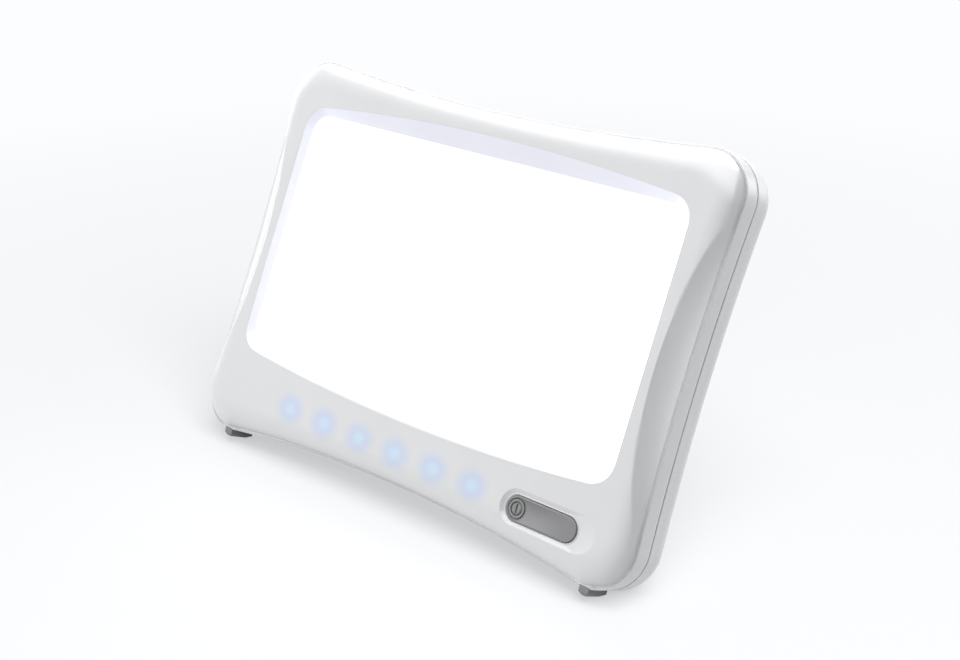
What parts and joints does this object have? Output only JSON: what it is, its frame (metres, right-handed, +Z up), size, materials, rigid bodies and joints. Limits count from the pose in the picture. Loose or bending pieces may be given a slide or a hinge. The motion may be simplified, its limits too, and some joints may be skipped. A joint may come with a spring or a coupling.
{
  "type": "light therapy lamp",
  "caption": "Tablet-shaped light therapy lamp that leans back on a fold-out rear stand, with a wide lit window, a pill-shaped power button and a row of indicator lights.",
  "frame": {"origin": "centre of the whole lamp's bounding box on the table, with the stand open", "axes": "+X to the right of someone facing the window, +Y from the window to the stand, +Z up"},
  "size_m": [0.234, 0.0924, 0.1582],
  "materials": {
    "white_shell": "satin",
    "grey_button": "satin",
    "grey_rubber": "matt",
    "opal_diffuser": "satin",
    "black_foam": "matt",
    "white_reflector": "gloss",
    "white_board": "satin",
    "green_board": "satin",
    "white_emitter": "gloss",
    "blue_lens": "gloss",
    "clear_guide": "gloss",
    "aluminium_sheet": "brushed",
    "black_plastic": "satin",
    "white_nylon": "satin",
    "red_insulation": "satin",
    "black_insulation": "satin",
    "steel": "brushed",
    "brass_contact": "gloss"
  },
  "bodies": {
    "head": {"front_cover": "white_shell", "rear_cover": "white_shell", "diffuser_panel": "opal_diffuser", "diffuser_gasket": "black_foam", "reflector_tray": "white_reflector", "led_board": "white_board", "light_leds": "white_emitter", "heat_spreader": "aluminium_sheet", "control_board": "green_board", "indicator_light_guide": "clear_guide", "indicator_leds": "blue_lens", "switch_body": "black_plastic", "driver_capacitor": "aluminium_sheet", "driver_coil": "black_plastic", "control_chip": "black_plastic", "board_header": "white_nylon", "led_connector": "white_nylon", "light_lead_return": "black_insulation", "light_lead_supply": "red_insulation", "dc_jack": "black_plastic", "dc_jack_pin": "brass_contact", "foot_left": "grey_rubber", "foot_right": "grey_rubber", "hinge_pin": "steel", "hinge_washers": "white_nylon", "cover_screws": "steel", "spreader_screws": "steel", "board_screws": "steel"},
    "button": {"power_button": "grey_button", "switch_plunger": "black_plastic"},
    "stand": {"rear_stand": "white_shell", "stand_pad": "grey_rubber"}
  },
  "joints": [
    {"name": "power_button_press", "type": "slide", "parent": "head", "child": "button", "axis": [0, 0.9018, -0.4321], "range_m": [0, 0.0008], "stiffness_N_per_m": 1500, "springref_m": -0.0005},
    {"name": "stand_fold", "type": "hinge", "parent": "head", "child": "stand", "pos_m": [0, 0.0203, 0.09359], "axis": [-1, 0, 0], "range_deg": [0, 39.6]}
  ]
}
